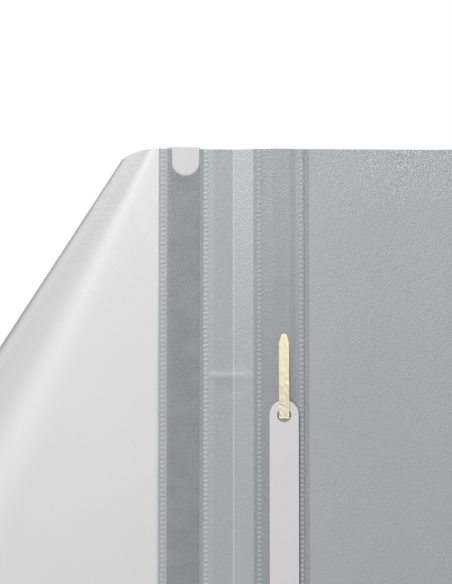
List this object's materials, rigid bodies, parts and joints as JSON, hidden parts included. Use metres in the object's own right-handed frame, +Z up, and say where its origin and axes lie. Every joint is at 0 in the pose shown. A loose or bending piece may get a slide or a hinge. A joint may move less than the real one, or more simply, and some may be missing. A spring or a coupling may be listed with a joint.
{
  "type": "fastener folder",
  "caption": "Open A4 report folder of grey film with a clear front cover, a label pocket and a metal prong fastener under a compressor bar.",
  "frame": {"origin": "on the floor under the spine's fold line, in the middle of the folder's width and height", "axes": "+X across the folder to the back cover's free edge, +Y up the page, +Z up from the floor"},
  "size_m": [0.464, 0.3108, 0.0094],
  "materials": {
    "grey_film": "satin, fine leather grain",
    "clear_film": "milky, slightly hazy clear film",
    "card": "matt white",
    "prong_metal": "pale gold, thin coated sheet",
    "bar_plastic": "matt light grey"
  },
  "bodies": {
    "root": {"grey_cover_sheet": "grey_film", "clear_front_cover": "clear_film", "label_strip": "card", "fastener_strip": "grey_film", "fastener": "prong_metal", "compressor_bar": "bar_plastic"}
  },
  "joints": []
}
